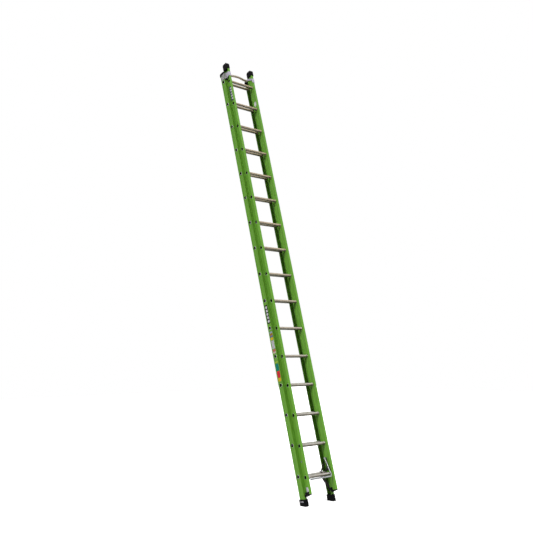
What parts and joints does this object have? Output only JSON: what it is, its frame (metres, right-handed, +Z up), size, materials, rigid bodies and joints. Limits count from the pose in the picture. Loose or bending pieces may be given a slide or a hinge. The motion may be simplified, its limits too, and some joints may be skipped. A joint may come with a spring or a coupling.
{
  "type": "extension ladder",
  "caption": "Fibreglass extension ladder: a fly section slides up a wider base section, with a swinging bail, rung locks, rubber feet and a bowed pole rest.",
  "frame": {"origin": "midway between the stiles and midway front to back, at the level of the toes of the soles", "axes": "+Z up along the stiles, +X to the climber's right, -Y towards the climber"},
  "size_m": [0.4346, 0.16, 5.084],
  "materials": {
    "fibreglass": "satin green fibreglass with fine drawn lines",
    "rung_aluminium": "mill finish, finely ribbed",
    "bright_aluminium": "clean pressed plate",
    "black_rubber": "moulded, matt",
    "black_nylon": "moulded, smooth",
    "dark_brace": "dull grey coating",
    "cast_pawl": "dark cast finish",
    "bail_steel": "bright zinc plate"
  },
  "bodies": {
    "base": {"base_stile_left": "fibreglass", "base_stile_right": "fibreglass", "foot_left": "black_rubber", "foot_right": "black_rubber", "base_cap_left": "black_rubber", "base_cap_right": "black_rubber", "guide_bracket_left": "bright_aluminium", "guide_bracket_right": "bright_aluminium", "guide_slider_left": "black_nylon", "guide_slider_right": "black_nylon", "rung_brace_left": "dark_brace", "rung_brace_right": "dark_brace", "base_rivets": "bright_aluminium", "base_rung_01": "rung_aluminium", "base_rung_02": "rung_aluminium", "base_rung_03": "rung_aluminium", "base_rung_04": "rung_aluminium", "base_rung_05": "rung_aluminium", "base_rung_06": "rung_aluminium", "base_rung_07": "rung_aluminium", "base_rung_08": "rung_aluminium", "base_rung_09": "rung_aluminium", "base_rung_10": "rung_aluminium", "base_rung_11": "rung_aluminium", "base_rung_12": "rung_aluminium", "base_rung_13": "rung_aluminium", "base_rung_14": "rung_aluminium", "base_rung_15": "rung_aluminium", "base_rung_16": "rung_aluminium"},
    "fly": {"fly_stile_left": "fibreglass", "fly_stile_right": "fibreglass", "fly_cap_left": "black_rubber", "fly_cap_right": "black_rubber", "fly_plug_left": "black_nylon", "fly_plug_right": "black_nylon", "fly_shoe_left": "bright_aluminium", "fly_shoe_right": "bright_aluminium", "lock_pins": "bail_steel", "pole_rest": "rung_aluminium", "pole_rest_straps": "bright_aluminium", "fly_rivets": "bright_aluminium", "fly_rung_01": "rung_aluminium", "fly_rung_02": "rung_aluminium", "fly_rung_03": "rung_aluminium", "fly_rung_04": "rung_aluminium", "fly_rung_05": "rung_aluminium", "fly_rung_06": "rung_aluminium", "fly_rung_07": "rung_aluminium", "fly_rung_08": "rung_aluminium", "fly_rung_09": "rung_aluminium", "fly_rung_10": "rung_aluminium", "fly_rung_11": "rung_aluminium", "fly_rung_12": "rung_aluminium", "fly_rung_13": "rung_aluminium", "fly_rung_14": "rung_aluminium", "fly_rung_15": "rung_aluminium", "fly_rung_16": "rung_aluminium"},
    "bail": {"rung_bail": "bail_steel"},
    "lock_left": {"lock_hook_left": "cast_pawl"},
    "lock_right": {"lock_hook_right": "cast_pawl"}
  },
  "joints": [
    {"name": "fly_slide", "type": "slide", "parent": "base", "child": "fly", "axis": [0, 0, 1], "range_m": [0, 3.66]},
    {"name": "bail_swing", "type": "hinge", "parent": "fly", "child": "bail", "pos_m": [0, -0.025, 0.425], "axis": [-1, 0, 0], "range_deg": [0, 75]},
    {"name": "lock_left_swing", "type": "hinge", "parent": "fly", "child": "lock_left", "pos_m": [-0.1592, -0.025, 0.425], "axis": [1, 0, 0], "range_deg": [0, 23]},
    {"name": "lock_right_swing", "type": "hinge", "parent": "fly", "child": "lock_right", "pos_m": [0.1592, -0.025, 0.425], "axis": [1, 0, 0], "range_deg": [0, 23]}
  ],
  "couplings": [
    {"joint": "lock_right_swing", "follows": "lock_left_swing", "ratio": 1}
  ]
}
